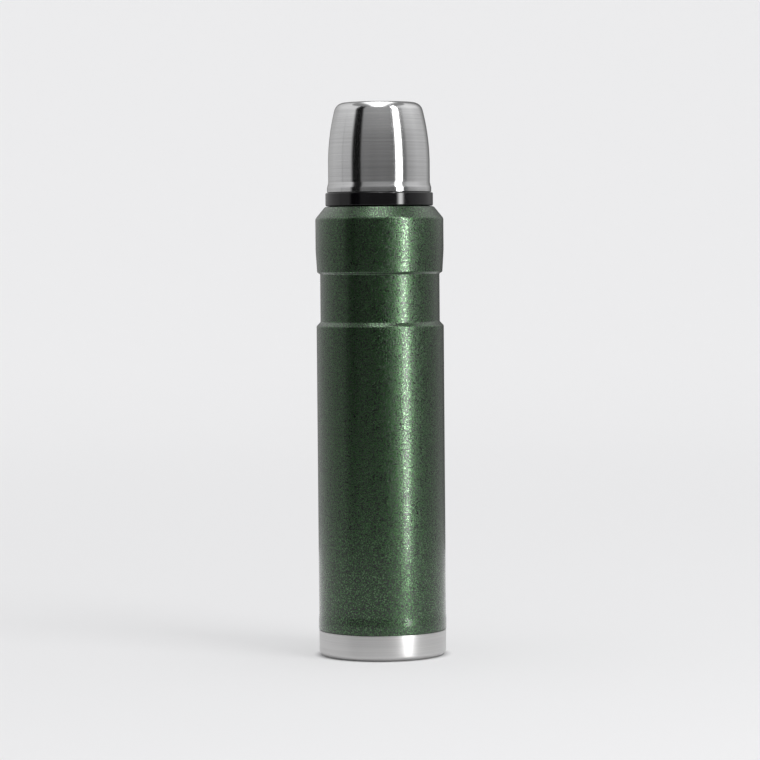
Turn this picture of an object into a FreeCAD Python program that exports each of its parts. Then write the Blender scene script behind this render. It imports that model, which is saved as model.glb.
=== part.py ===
import FreeCAD, Part
import math
import os
import types

import Sketcher

# Vacuum flask, 0.75 litre: a double-walled steel vessel, a push-button stopper screwed into its neck
# and a drinking cup screwed over the stopper. Millimetres, +Z up, the origin at the centre of the foot
# on the table; the pouring side faces -Y.

DIMENSIONS = [
    # foot and painted outer wall
    ("body_radius", 37.5), ("foot_height", 15.0), ("foot_wall", 0.5), ("foot_edge_rounding", 3.0),
    ("foot_ring_inset", 8.5), ("foot_ring_slope", 2.0), ("foot_recess", 1.6), ("press_rounding", 1.0),
    ("reveal", 0.6), ("joggle_depth", 6.0), ("joggle_clearance", 0.1), ("joggle_fold", 0.6),
    ("wall", 0.6), ("hem_flare", 0.3), ("hem_height", 4.5), ("hem_blend", 5.0),
    ("hem_rounding", 0.25), ("blend_rounding", 20.0),
    ("lower_body_top", 194.4), ("step_height", 2.4), ("step_rounding", 1.5),
    ("waist_depth", 2.35), ("waist_height", 28.1), ("ledge_height", 1.1), ("ledge_rounding", 0.8),
    ("band_bulge", 0.2), ("band_lead", 0.8), ("band_flare_height", 12.8), ("band_rounding", 60.0),
    ("band_height", 18.7), ("weld_height", 9.0), ("shoulder_rounding", 2.0), ("shoulder_overhang", 0.35),
    ("shoulder_height", 7.0), ("shoulder_slope", 0.2), ("neck_height", 5.9), ("neck_gap", 0.7),
    # inner bottle and what lies in the vacuum
    ("bottle_wall", 0.5), ("vacuum_gap", 1.55), ("bottle_floor", 13.6), ("bottle_rounding", 6.0),
    ("bottle_shoulder_height", 15.0), ("bottle_shoulder_rounding", 12.0), ("throat_height", 10.0),
    ("throat_rounding", 4.0), ("neck_step", 0.4), ("weld_margin", 1.4),
    ("neck_radius", 22.6), ("neck_bore_height", 16.4), ("lip_thickness", 1.0), ("lip_overhang", 0.2),
    ("lip_outer_rounding", 0.45), ("lip_inner_rounding", 0.7),
    ("foil_thickness", 0.2), ("foil_gap", 0.1), ("foil_margin", 10.0), ("foil_clearance", 2.0),
    ("closure_lift", 0.8), ("closure_depth", 0.8), ("closure_rib", 1.2), ("closure_rib_inset", 8.0),
    ("closure_rib_slope", 2.0), ("closure_rib_width", 4.0), ("port_radius", 1.6), ("solder_radius", 3.2),
    ("solder_height", 1.2), ("getter_radius", 4.0), ("getter_height", 1.7), ("getter_inset", 22.25),
    # threads
    ("thread_pitch", 4.0), ("thread_turns", 1.5), ("thread_land", 0.6), ("thread_foot", 2.0),
    ("thread_gap", 0.3), ("thread_sink", 0.2), ("neck_thread_height", 0.7), ("plug_thread_height", 1.0),
    ("cup_thread_height", 0.9), ("liner_thread_height", 0.8), ("neck_thread_start", 2.0),
    ("cup_thread_start", 1.6),
    # stopper
    ("plug_wall", 1.8), ("plug_depth", 22.2), ("deck_thickness", 2.0),
    ("gasket_thickness", 0.8), ("gasket_width", 1.4), ("seat_gap", 0.05), ("running_gap", 0.3),
    ("ring_lip", 0.95), ("ring_drop", 7.4), ("ring_step", 0.4), ("ring_wall", 2.05),
    ("ring_lower_rounding", 0.8), ("ring_upper_rounding", 0.6), ("ring_top_thickness", 2.2),
    ("guide_wall", 1.2), ("guide_drop", 5.9), ("neck_clearance", 0.8),
    ("sleeve_offset", 1.0), ("sleeve_wall", 1.6), ("sleeve_height", 12.8), ("moulding_rounding", 0.3),
    ("cover_lift", 0.2), ("cover_thickness", 1.6), ("cover_rounding", 0.8), ("cover_skirt", 4.0),
    ("cover_skirt_wall", 1.2), ("cover_fit", 0.1),
    ("mouth_width", 11.0), ("mouth_inset", 1.4), ("mouth_rounding", 1.5), ("duct_wall", 1.2),
    ("vent_radius", 1.2), ("vent_inset", 3.0),
    ("plug_seal_height", 2.2), ("plug_seal_flange", 0.8), ("plug_groove_depth", 1.0), ("seal_lip", 0.5),
    # valve
    ("cage_height", 6.0), ("cage_wall", 1.7), ("seat_width", 7.3), ("seat_thickness", 1.6),
    ("hub_wall", 1.9), ("hub_height", 3.4), ("arm_width", 2.0), ("arm_height", 2.0),
    ("disc_overlap", 2.5), ("disc_thickness", 2.2), ("disc_edge", 1.4), ("disc_bevel", 3.0),
    ("disc_hub_wall", 1.4), ("disc_hub_height", 3.0), ("socket_depth", 1.0),
    ("valve_seal_width", 2.5), ("valve_seal_height", 0.9), ("valve_seal_gap", 0.1),
    ("stem_radius", 2.0), ("stem_boss_wall", 2.7), ("stem_boss_height", 3.4),
    ("stem_seal_width", 1.7), ("stem_seal_height", 1.6),
    # button, spring and latch
    ("button_radius", 8.5), ("button_stand", 1.8), ("button_wall", 1.3), ("button_top", 1.8),
    ("button_height", 9.8), ("button_rim", 1.6), ("button_dish", 0.5), ("button_dish_run", 1.9),
    ("button_boss_wall", 1.3), ("button_boss_height", 6.0), ("stem_socket_depth", 0.5),
    ("catch_depth", 0.7), ("press_travel", 4.0), ("guide_tube_wall", 1.2), ("spring_inset", 1.8),
    ("spring_wire", 0.4), ("spring_turns", 6.0),
    ("latch_height", 3.2), ("latch_thickness", 1.8), ("latch_width", 10.0), ("tongue_width", 6.4),
    ("latch_rounding", 0.6), ("latch_spring_room", 4.6), ("tongue_length", 2.4), ("pad_width", 6.4),
    ("pad_offset", 3.6), ("pad_margin", 1.0), ("pad_stand", 1.2), ("pad_rounding", 0.8),
    ("latch_travel", 1.5), ("shelf_width", 8.0), ("shelf_offset", 1.5),
    ("latch_spring_radius", 1.1), ("latch_spring_wire", 0.2), ("latch_spring_turns", 4.0),
    # cup
    ("cup_wall", 0.5), ("cup_rim_gap", 0.3), ("cup_flare", 0.8), ("cup_rim_height", 2.7),
    ("cup_bead_height", 2.9), ("cup_bead_rounding", 1.5), ("cup_side_height", 26.7),
    ("cup_bulge", 130.0), ("cup_taper", 4.96), ("cup_top_height", 20.0), ("cup_edge_rounding", 6.0),
    ("cup_crown", 0.8), ("crown_run", 12.44), ("crown_bulge", 240.0),
    ("liner_gap", 0.2), ("liner_thread_wall", 1.0), ("liner_ledge_width", 2.2), ("liner_top_gap", 0.4),
    ("liner_top_wall", 1.5), ("liner_edge_gap", 0.7), ("liner_edge_wall", 1.9),
    ("liner_edge_rounding", 5.0), ("liner_floor_rounding", 5.0), ("liner_bulge", 125.0),
    ("liner_inner_bulge", 110.0), ("cup_seal_thickness", 0.9), ("cup_seal_gap", 0.2),
    ("cup_seal_overlap", 1.4), ("shell_seal_lift", 0.6), ("shell_seal_height", 1.8),
    ("shell_seal_gap", 0.1),
]

ORIGIN, WHOLE_TURN = -1, 360.0
START, END = 1, 2
HORIZONTAL_AXIS, VERTICAL_AXIS = -1, -2
TINY = 1e-9


class Size:
    """A length together with the spreadsheet formula that gives it."""

    def __init__(self, value, text):
        self.value = value
        self.text = text

    def __add__(self, other):
        other = as_size(other)
        return Size(self.value + other.value, "(%s + %s)" % (self.text, other.text))

    def __sub__(self, other):
        other = as_size(other)
        return Size(self.value - other.value, "(%s - %s)" % (self.text, other.text))

    def __mul__(self, factor):
        return Size(self.value * factor, "(%s * %s)" % (self.text, factor))

    def __truediv__(self, other):
        return Size(self.value / other.value, "(%s / %s)" % (self.text, other.text))

    def __neg__(self):
        return Size(-self.value, "(0 - %s)" % self.text)


def as_size(number):
    return number if isinstance(number, Size) else Size(float(number), str(number))


def bind(item, name, size):
    """Tie one property of a feature to the spreadsheet."""
    item.setExpression(name, size.text)


# ------------------------------------------------------------------ document and spreadsheet
os.makedirs("parts", exist_ok=True)
doc = FreeCAD.newDocument("vacuum_flask")
sheet = doc.addObject("Spreadsheet::Sheet", "dims")
for row, (name, value) in enumerate(DIMENSIONS, start=1):
    sheet.set("A%d" % row, name)
    sheet.set("B%d" % row, str(value))
    sheet.setAlias("B%d" % row, name)
doc.recompute()
d = types.SimpleNamespace(**{name: Size(value, "dims." + name) for name, value in DIMENSIONS})

PIECES = []


# ------------------------------------------------------------------ sketch and feature helpers
def new_body(label, z=None, x=None):
    """A PartDesign body for one piece, placed on the centre line at height z."""
    body = doc.addObject("PartDesign::Body", label)
    body.Label = label
    body.Placement = FreeCAD.Placement()
    if z is not None:
        bind(body, "Placement.Base.z", z)
    if x is not None:
        bind(body, "Placement.Base.x", x)
    PIECES.append(body)
    return body


def origin_plane(body, role):
    return [item for item in body.Origin.OriginFeatures if item.Role == role][0]


def new_sketch(body, name, role, offset=None):
    """A sketch on one of the body's own planes, raised by an offset along its normal."""
    sketch = body.newObject("Sketcher::SketchObject", name)
    sketch.AttachmentSupport = [(origin_plane(body, role), "")]
    sketch.MapMode = "FlatFace"
    if offset is not None:
        bind(sketch, "AttachmentOffset.Base.z", offset)
    return sketch


def pin(sketch, geometry, position, across, up):
    """Fix one sketch point at its two distances from the origin, each tied to the spreadsheet."""
    for kind, size, axis in (("DistanceX", across, VERTICAL_AXIS), ("DistanceY", up, HORIZONTAL_AXIS)):
        if abs(size.value) < TINY:
            sketch.addConstraint(Sketcher.Constraint("PointOnObject", geometry, position, axis))
            continue
        if size.value > 0:
            ends = (ORIGIN, START, geometry, position)
            distance = size
        else:
            ends = (geometry, position, ORIGIN, START)
            distance = -size
        index = sketch.addConstraint(Sketcher.Constraint(kind, *ends, distance.value))
        bind(sketch, "Constraints[%d]" % index, distance)


def rounded_corner(before, corner, after, radius):
    """Where a rounding of this radius starts and ends at a corner, and its centre."""
    to_before = (before - corner).normalize()
    to_after = (after - corner).normalize()
    half_angle = to_before.getAngle(to_after) / 2
    reach = radius / math.tan(half_angle)
    middle = (to_before + to_after).normalize()
    centre = corner + middle * (radius / math.sin(half_angle))
    return corner + to_before * reach, corner + to_after * reach, centre


def outline(sketch, corners):
    """A closed outline of straight runs; a corner given a third size is rounded by that radius."""
    corners = [tuple(as_size(size) for size in corner) for corner in corners]
    points = [FreeCAD.Vector(corner[0].value, corner[1].value, 0) for corner in corners]
    count = len(points)
    starts, ends, centres = list(points), list(points), [None] * count
    for i, corner in enumerate(corners):
        if len(corner) == 3:
            ends[i], starts[i], centres[i] = rounded_corner(
                points[i - 1], points[i], points[(i + 1) % count], corner[2].value)
    lines = [sketch.addGeometry(Part.LineSegment(starts[i], ends[(i + 1) % count])) for i in range(count)]
    for i, corner in enumerate(corners):
        line_in, line_out = lines[i - 1], lines[i]
        if len(corner) == 2:
            sketch.addConstraint(Sketcher.Constraint("Coincident", line_in, END, line_out, START))
            pin(sketch, line_out, START, corner[0], corner[1])
            continue
        round_corner(sketch, line_in, line_out, points[i], ends[i], starts[i], centres[i], corner)


def round_corner(sketch, line_in, line_out, point, arc_start, arc_end, centre, corner):
    """The arc between two runs, tangent to both, with the sharp corner kept as a pinned point."""
    turn = (point - arc_start).cross(arc_end - point).z
    first, last = (arc_start, arc_end) if turn > 0 else (arc_end, arc_start)
    angles = [math.atan2(end.y - centre.y, end.x - centre.x) for end in (first, last)]
    circle = Part.Circle(centre, FreeCAD.Vector(0, 0, 1), corner[2].value)
    arc = sketch.addGeometry(Part.ArcOfCircle(circle, *angles))
    arc_in, arc_out = (START, END) if turn > 0 else (END, START)
    sketch.addConstraint(Sketcher.Constraint("Tangent", line_in, END, arc, arc_in))
    sketch.addConstraint(Sketcher.Constraint("Tangent", arc, arc_out, line_out, START))
    index = sketch.addConstraint(Sketcher.Constraint("Radius", arc, corner[2].value))
    bind(sketch, "Constraints[%d]" % index, corner[2])
    sharp = sketch.addGeometry(Part.Point(point), True)
    sketch.addConstraint(Sketcher.Constraint("PointOnObject", sharp, START, line_in))
    sketch.addConstraint(Sketcher.Constraint("PointOnObject", sharp, START, line_out))
    pin(sketch, sharp, START, corner[0], corner[1])


def revolve(body, name, corners, base):
    """Spin an outline of (radius, height) corners about the centre line; heights count from the table."""
    sketch = new_sketch(body, name + "_outline", "XZ_Plane")
    outline(sketch, [(corner[0], corner[1] - base) + tuple(corner[2:]) for corner in corners])
    turned = body.newObject("PartDesign::Revolution", name)
    turned.Profile = sketch
    turned.ReferenceAxis = (sketch, ["V_Axis"])
    turned.Angle = WHOLE_TURN
    return turned


def turned_piece(label, base, corners, x=None):
    body = new_body(label, base, x)
    revolve(body, label + "_turned", corners, base)
    return body


def thread(body, name, root, crest, bottom, base):
    """A ridge wound up the wall: root radius (a little inside the wall), crest radius, lowest height."""
    low = bottom - base
    land_start = (d.thread_foot - d.thread_land) * 0.5
    sketch = new_sketch(body, name + "_profile", "XZ_Plane")
    outline(sketch, [(root, low), (crest, low + land_start),
                     (crest, low + land_start + d.thread_land), (root, low + d.thread_foot)])
    wind(body, name, sketch, d.thread_pitch, d.thread_turns)


def wind(body, name, profile, pitch, turns, axis="V_Axis"):
    """Sweep a profile along a helix."""
    helix = body.newObject("PartDesign::AdditiveHelix", name)
    helix.Profile = profile
    helix.ReferenceAxis = (profile, [axis])
    helix.Mode = "pitch-turns-angle"
    bind(helix, "Pitch", pitch)
    bind(helix, "Turns", turns)
    return helix


def pad(body, name, corners, bottom, top):
    """Raise a flat outline of (x, y) corners between two heights above the body's own foot."""
    sketch = new_sketch(body, name + "_outline", "XY_Plane", bottom)
    outline(sketch, corners)
    block = body.newObject("PartDesign::Pad", name)
    block.Profile = sketch
    bind(block, "Length", top - bottom)
    return block


def pocket(body, name, corners, bottom, top):
    """Cut a flat outline of (x, y) corners away between two heights; it has to remove material."""
    doc.recompute()
    before = body.Shape.Volume
    sketch = new_sketch(body, name + "_outline", "XY_Plane", bottom)
    outline(sketch, corners)
    cut = body.newObject("PartDesign::Pocket", name)
    cut.Profile = sketch
    cut.Reversed = True
    bind(cut, "Length", top - bottom)
    doc.recompute()
    if body.Shape.Volume > before - TINY:
        raise RuntimeError(name + " removes nothing")
    return cut


def round_pocket(body, name, x, y, radius, bottom, top):
    """Cut a round hole between two heights above the body's own foot."""
    sketch = new_sketch(body, name + "_outline", "XY_Plane", bottom)
    circle(sketch, x, y, radius)
    cut = body.newObject("PartDesign::Pocket", name)
    cut.Profile = sketch
    cut.Reversed = True
    bind(cut, "Length", top - bottom)
    return cut


def circle(sketch, x, y, radius):
    centre = FreeCAD.Vector(x.value, y.value, 0)
    round_shape = sketch.addGeometry(Part.Circle(centre, FreeCAD.Vector(0, 0, 1), radius.value))
    pin(sketch, round_shape, 3, x, y)
    index = sketch.addConstraint(Sketcher.Constraint("Radius", round_shape, radius.value))
    bind(sketch, "Constraints[%d]" % index, radius)


def rectangle(left, right, near, far, rounding=None):
    """Corners of a rectangle, counter-clockwise, all rounded alike if a rounding is given."""
    extra = () if rounding is None else (rounding,)
    return [corner + extra for corner in ((left, near), (right, near), (right, far), (left, far))]


# ------------------------------------------------------------------ heights and radii that pieces share
zero = Size(0.0, "0")
through = Size(1.0, "1")      # how far a cut runs past the face it leaves by
foot_radius = d.body_radius
joggle_radius = foot_radius - d.foot_wall - d.joggle_clearance
joggle_bottom = d.foot_height - d.joggle_depth
paint_bottom = d.foot_height + d.reveal
closure_bottom = joggle_bottom + d.closure_lift
closure_edge = joggle_radius - d.wall - d.seat_gap
waist_bottom = d.lower_body_top + d.step_height
waist_top = waist_bottom + d.waist_height
waist_radius = d.body_radius - d.waist_depth
band_bottom = waist_top + d.ledge_height
band_straight = band_bottom + d.band_flare_height
band_top = band_straight + d.band_height
band_radius = d.body_radius + d.band_bulge
weld = band_straight + d.weld_height
shoulder_top = band_top + d.shoulder_height
neck_top = shoulder_top + d.neck_height
neck_bottom = neck_top - d.neck_bore_height
throat_bottom = neck_bottom - d.throat_height
neck_weld = throat_bottom + d.throat_rounding
bottom_weld = d.bottle_floor + d.bottle_rounding + d.weld_margin
tube_weld = throat_bottom - d.bottle_shoulder_height - d.bottle_shoulder_rounding
lip_top = neck_top + d.lip_thickness
neck_outer = d.neck_radius + d.bottle_wall + d.neck_gap + d.wall
throat_radius = d.neck_radius - d.neck_thread_height
bottle_radius = waist_radius - d.wall - d.vacuum_gap
corner_start = bottle_radius - d.bottle_rounding - d.weld_margin

deck_bottom = lip_top + d.gasket_thickness
deck_top = deck_bottom + d.deck_thickness
plug_bottom = deck_bottom - d.plug_depth
plug_crest = throat_radius - d.thread_gap
plug_radius = plug_crest - d.plug_thread_height
plug_bore = plug_radius - d.plug_wall
guide_radius = neck_outer + d.neck_clearance
ring_bottom = deck_bottom - d.ring_drop
ring_top = deck_bottom + d.ring_step
sleeve_radius = guide_radius + d.sleeve_offset
sleeve_bore = sleeve_radius - d.sleeve_wall
sleeve_crest = sleeve_radius + d.cup_thread_height
sleeve_top = ring_top + d.sleeve_height
cover_bottom = deck_top + d.cover_lift
cover_top = sleeve_top + d.cover_thickness
stem_hole = d.stem_radius + d.running_gap
stem_socket = d.stem_radius + d.seat_gap
seal_pocket = stem_hole + d.stem_seal_width - d.running_gap

seat_radius = plug_bore - d.seat_width
disc_radius = seat_radius + d.disc_overlap
valve_face = plug_bottom - d.valve_seal_gap - d.valve_seal_height
button_top = cover_top + d.button_stand
button_bottom = button_top - d.button_height
button_ceiling = button_top - d.button_top
guide_bore = d.button_radius + d.running_gap
guide_outer = guide_bore + d.guide_tube_wall
mouth_near = guide_outer + d.mouth_inset
mouth_far = plug_bore - d.mouth_inset
vent_place = plug_bore - d.vent_inset
latch_bottom = deck_top + d.latch_height
latch_top = latch_bottom + d.latch_thickness
latch_back = sleeve_bore - d.latch_spring_room
pad_near = guide_outer + d.pad_offset
pad_far = latch_back - d.pad_margin

liner_crest = sleeve_crest + d.thread_gap
liner_root = liner_crest + d.liner_thread_height
liner_outer = liner_root + d.liner_thread_wall
cup_radius = liner_outer + d.liner_gap + d.cup_wall
cup_rim_radius = cup_radius + d.cup_flare
cup_rim = ring_top + d.cup_rim_gap
cup_bead = cup_rim + d.cup_rim_height
cup_side = cup_bead + d.cup_bead_height
cup_bend = cup_side + d.cup_side_height
cup_corner = cup_bend + d.cup_top_height
cup_top = cup_corner + d.cup_crown
cup_top_radius = cup_radius - d.cup_taper
crown_flat_radius = cup_top_radius - d.crown_run
cup_seal_bottom = cover_top + d.cup_seal_gap
liner_ledge = cup_seal_bottom + d.cup_seal_thickness
ring_radius = cup_rim_radius + d.ring_lip
shoulder_radius = ring_radius + d.shoulder_overhang


# ------------------------------------------------------------------ vessel
def outer_shell():
    """Painted wall below the weld: joggle for the foot, hem, straight body, waist and lower band."""
    hem_radius = d.body_radius + d.hem_flare
    hem_top = paint_bottom + d.hem_height
    band_foot = band_radius - d.band_lead
    inner_joggle = joggle_radius - d.wall
    turned_piece("outer_shell", joggle_bottom, [
        (joggle_radius, joggle_bottom), (joggle_radius, paint_bottom),
        (hem_radius, paint_bottom, d.hem_rounding), (hem_radius, hem_top, d.blend_rounding),
        (d.body_radius, hem_top + d.hem_blend, d.blend_rounding),
        (d.body_radius, d.lower_body_top, d.step_rounding), (waist_radius, waist_bottom, d.step_rounding),
        (waist_radius, waist_top, d.ledge_rounding), (band_foot, band_bottom, d.ledge_rounding),
        (band_radius, band_straight, d.band_rounding), (band_radius, weld), (band_radius - d.wall, weld),
        (band_radius - d.wall, band_straight, d.band_rounding),
        (band_foot - d.wall, band_bottom + d.wall, d.ledge_rounding),
        (waist_radius - d.wall, waist_top + d.wall, d.ledge_rounding),
        (waist_radius - d.wall, waist_bottom - d.wall * 0.5, d.step_rounding),
        (d.body_radius - d.wall, d.lower_body_top - d.wall * 0.5, d.step_rounding),
        (d.body_radius - d.wall, paint_bottom + d.joggle_fold + d.hem_rounding, d.hem_rounding),
        (inner_joggle, paint_bottom + d.joggle_fold, d.hem_rounding), (inner_joggle, joggle_bottom)])


def shoulder_shell():
    """Painted wall above the weld: upper band, shoulder and the outer neck tube."""
    neck_inner = neck_outer - d.wall
    fold = d.wall * 0.5
    turned_piece("shoulder_shell", weld, [
        (band_radius, weld), (band_radius, band_top, d.shoulder_rounding),
        (shoulder_radius, shoulder_top, d.shoulder_rounding),
        (neck_outer, shoulder_top + d.shoulder_slope, d.joggle_fold), (neck_outer, neck_top),
        (neck_inner, neck_top), (neck_inner, shoulder_top + d.shoulder_slope - d.wall, d.joggle_fold),
        (shoulder_radius - fold, shoulder_top - d.wall, d.shoulder_rounding),
        (band_radius - d.wall, band_top - fold, d.shoulder_rounding), (band_radius - d.wall, weld)])


def inner_bottom():
    """Flat bottom disc of the inner bottle, welded into the corner ring."""
    turned_piece("inner_bottom", d.bottle_floor, [
        (zero, d.bottle_floor), (corner_start, d.bottle_floor),
        (corner_start, d.bottle_floor + d.bottle_wall), (zero, d.bottle_floor + d.bottle_wall)])


def inner_corner():
    """Corner ring of the inner bottle, rounded between the bottom disc and the tube."""
    wall = d.bottle_wall
    turned_piece("inner_corner", d.bottle_floor, [
        (corner_start, d.bottle_floor), (bottle_radius, d.bottle_floor, d.bottle_rounding),
        (bottle_radius, bottom_weld), (bottle_radius - wall, bottom_weld),
        (bottle_radius - wall, d.bottle_floor + wall, d.bottle_rounding - wall),
        (corner_start, d.bottle_floor + wall)])


def inner_tube():
    """Straight wall of the inner bottle."""
    near = bottle_radius - d.bottle_wall
    turned_piece("inner_tube", bottom_weld, [
        (near, bottom_weld), (bottle_radius, bottom_weld), (bottle_radius, tube_weld), (near, tube_weld)])


def inner_shoulder():
    """Shoulder of the inner bottle, from the tube in to the throat."""
    wall = d.bottle_wall
    shoulder = throat_bottom - d.bottle_shoulder_height
    turned_piece("inner_shoulder", tube_weld, [
        (bottle_radius, tube_weld), (bottle_radius, shoulder, d.bottle_shoulder_rounding),
        (throat_radius + wall, throat_bottom, d.throat_rounding),
        (throat_radius + wall, neck_weld), (throat_radius, neck_weld),
        (throat_radius, throat_bottom - wall * 0.5, d.throat_rounding),
        (bottle_radius - wall, shoulder - wall * 0.5, d.bottle_shoulder_rounding),
        (bottle_radius - wall, tube_weld)])


def inner_neck():
    """Neck of the inner bottle: throat, threaded bore and the lip welded to the outer neck tube."""
    wall = d.bottle_wall
    lip_radius = neck_outer + d.lip_overhang
    body = turned_piece("inner_neck", neck_weld, [
        (throat_radius + wall, neck_weld), (throat_radius + wall, neck_bottom - d.neck_step, d.neck_step),
        (d.neck_radius + wall, neck_bottom + d.neck_step, d.neck_step), (d.neck_radius + wall, neck_top),
        (lip_radius, neck_top), (lip_radius, lip_top, d.lip_outer_rounding),
        (d.neck_radius, lip_top, d.lip_inner_rounding),
        (d.neck_radius, neck_bottom + d.neck_step * 1.5, d.neck_step),
        (throat_radius, neck_bottom - d.neck_step * 0.5, d.neck_step), (throat_radius, neck_weld)])
    thread(body, "neck_thread", d.neck_radius + d.thread_sink, throat_radius,
           neck_bottom + d.neck_thread_start, neck_weld)


def copper_foil():
    """Foil wrapped round the straight part of the inner bottle."""
    bottom = d.bottle_floor + d.bottle_rounding + d.foil_clearance
    top = throat_bottom - d.bottle_shoulder_height - d.foil_margin
    near = bottle_radius + d.foil_gap
    far = near + d.foil_thickness
    turned_piece("copper_foil", bottom, [(near, bottom), (far, bottom), (far, top), (near, top)])


def shell_bottom():
    """Steel disc that closes the outer wall below, with a stiffening rib and the evacuation port."""
    low = closure_bottom
    high = low + d.closure_depth
    soft = d.press_rounding
    shift = d.wall * 0.5
    rib_outer = closure_edge - d.closure_rib_inset
    crest_outer = rib_outer - d.closure_rib_slope
    crest_inner = crest_outer - d.closure_rib_width
    rib_inner = crest_inner - d.closure_rib_slope
    turned_piece("shell_bottom", low, [
        (d.port_radius, low), (rib_inner, low, soft), (crest_inner, low + d.closure_rib, soft),
        (crest_outer, low + d.closure_rib, soft), (rib_outer, low, soft), (closure_edge, low),
        (closure_edge, high), (rib_outer + shift, high, soft),
        (crest_outer + shift, high + d.closure_rib, soft), (crest_inner - shift, high + d.closure_rib, soft),
        (rib_inner - shift, high, soft), (d.port_radius, high)])


def vacuum_seal():
    """Solder that plugs the evacuation port from below."""
    face = closure_bottom - d.seat_gap
    bottom = face - d.solder_height
    plug = d.port_radius - d.seat_gap
    top = closure_bottom + d.closure_depth
    turned_piece("vacuum_seal", bottom, [
        (zero, bottom), (d.solder_radius, bottom, d.press_rounding), (d.solder_radius, face), (plug, face),
        (plug, top), (zero, top)])


def getter():
    """Getter tablet in its pressed cup, on the closing disc inside the vacuum."""
    bottom = closure_bottom + d.closure_depth + d.seat_gap
    top = bottom + d.getter_height
    edge = d.neck_step
    turned_piece("getter", bottom, [
        (zero, bottom), (d.getter_radius, bottom, edge), (d.getter_radius, top),
        (d.getter_radius - edge, top), (d.getter_radius - edge, top - edge), (zero, top - edge)],
        x=closure_edge - d.getter_inset)


def base_cup():
    """Bare steel foot with a raised centre panel; it stands on a ring."""
    wall = d.foot_wall
    ring = foot_radius - d.foot_ring_inset
    panel = ring - d.foot_ring_slope
    soft = d.press_rounding
    shift = wall * 0.5
    turned_piece("base_cup", zero, [
        (zero, d.foot_recess), (panel, d.foot_recess, soft), (ring, zero, soft),
        (foot_radius, zero, d.foot_edge_rounding), (foot_radius, d.foot_height, d.neck_step * 0.5),
        (foot_radius - wall, d.foot_height), (foot_radius - wall, wall, d.foot_edge_rounding - wall),
        (ring + shift, wall, soft), (panel + shift, d.foot_recess + wall, soft),
        (zero, d.foot_recess + wall)])


# ------------------------------------------------------------------ stopper
def stopper_housing():
    """Black moulding: threaded plug, deck over the mouth, grip ring and the sleeve that holds the cup."""
    soft = d.moulding_rounding
    groove = plug_radius - d.plug_groove_depth
    groove_bottom = plug_bottom + d.plug_seal_flange
    groove_top = groove_bottom + d.plug_seal_height + d.running_gap
    guide_bottom = deck_bottom - d.guide_drop
    guide_outside = guide_radius + d.guide_wall
    cavity = ring_radius - d.ring_wall
    cavity_top = ring_top - d.ring_top_thickness
    pocket_radius = seal_pocket + d.seat_gap
    pocket_bottom = deck_top - d.stem_seal_height
    boss = stem_hole + d.stem_boss_wall
    boss_bottom = deck_bottom - d.stem_boss_height
    body = turned_piece("stopper_housing", plug_bottom, [
        (plug_bore, plug_bottom), (plug_radius, plug_bottom, soft), (plug_radius, groove_bottom),
        (groove, groove_bottom), (groove, groove_top), (plug_radius, groove_top),
        (plug_radius, deck_bottom, soft), (guide_radius, deck_bottom), (guide_radius, guide_bottom),
        (guide_outside, guide_bottom), (guide_outside, cavity_top), (cavity, cavity_top),
        (cavity, ring_bottom), (ring_radius, ring_bottom, d.ring_lower_rounding),
        (ring_radius, ring_top, d.ring_upper_rounding), (sleeve_radius, ring_top, soft),
        (sleeve_radius, sleeve_top, soft), (sleeve_bore, sleeve_top), (sleeve_bore, deck_top, soft),
        (pocket_radius, deck_top), (pocket_radius, pocket_bottom), (stem_hole, pocket_bottom),
        (stem_hole, boss_bottom), (boss, boss_bottom, soft), (boss, deck_bottom, soft),
        (plug_bore, deck_bottom, soft)])
    thread(body, "plug_thread", plug_radius - d.thread_sink, plug_crest,
           neck_bottom + d.neck_thread_start + d.thread_pitch * 0.5, plug_bottom)
    thread(body, "cup_thread", sleeve_radius - d.thread_sink, sleeve_crest,
           ring_top + d.cup_thread_start, plug_bottom)
    deck = deck_top - plug_bottom
    half = d.shelf_width * 0.5
    pad(body, "latch_shelf", rectangle(-half, half, guide_outer + d.shelf_offset, latch_back - d.pad_margin),
        deck - d.thread_sink, latch_bottom - d.running_gap - plug_bottom)
    half = d.mouth_width * 0.5
    under = deck_bottom - plug_bottom - through
    pocket(body, "deck_port", rectangle(-half, half, -mouth_far, -mouth_near, d.mouth_rounding),
           under, deck + through)
    round_pocket(body, "deck_vent", -vent_place, zero, d.vent_radius, under, deck + through)


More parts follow.
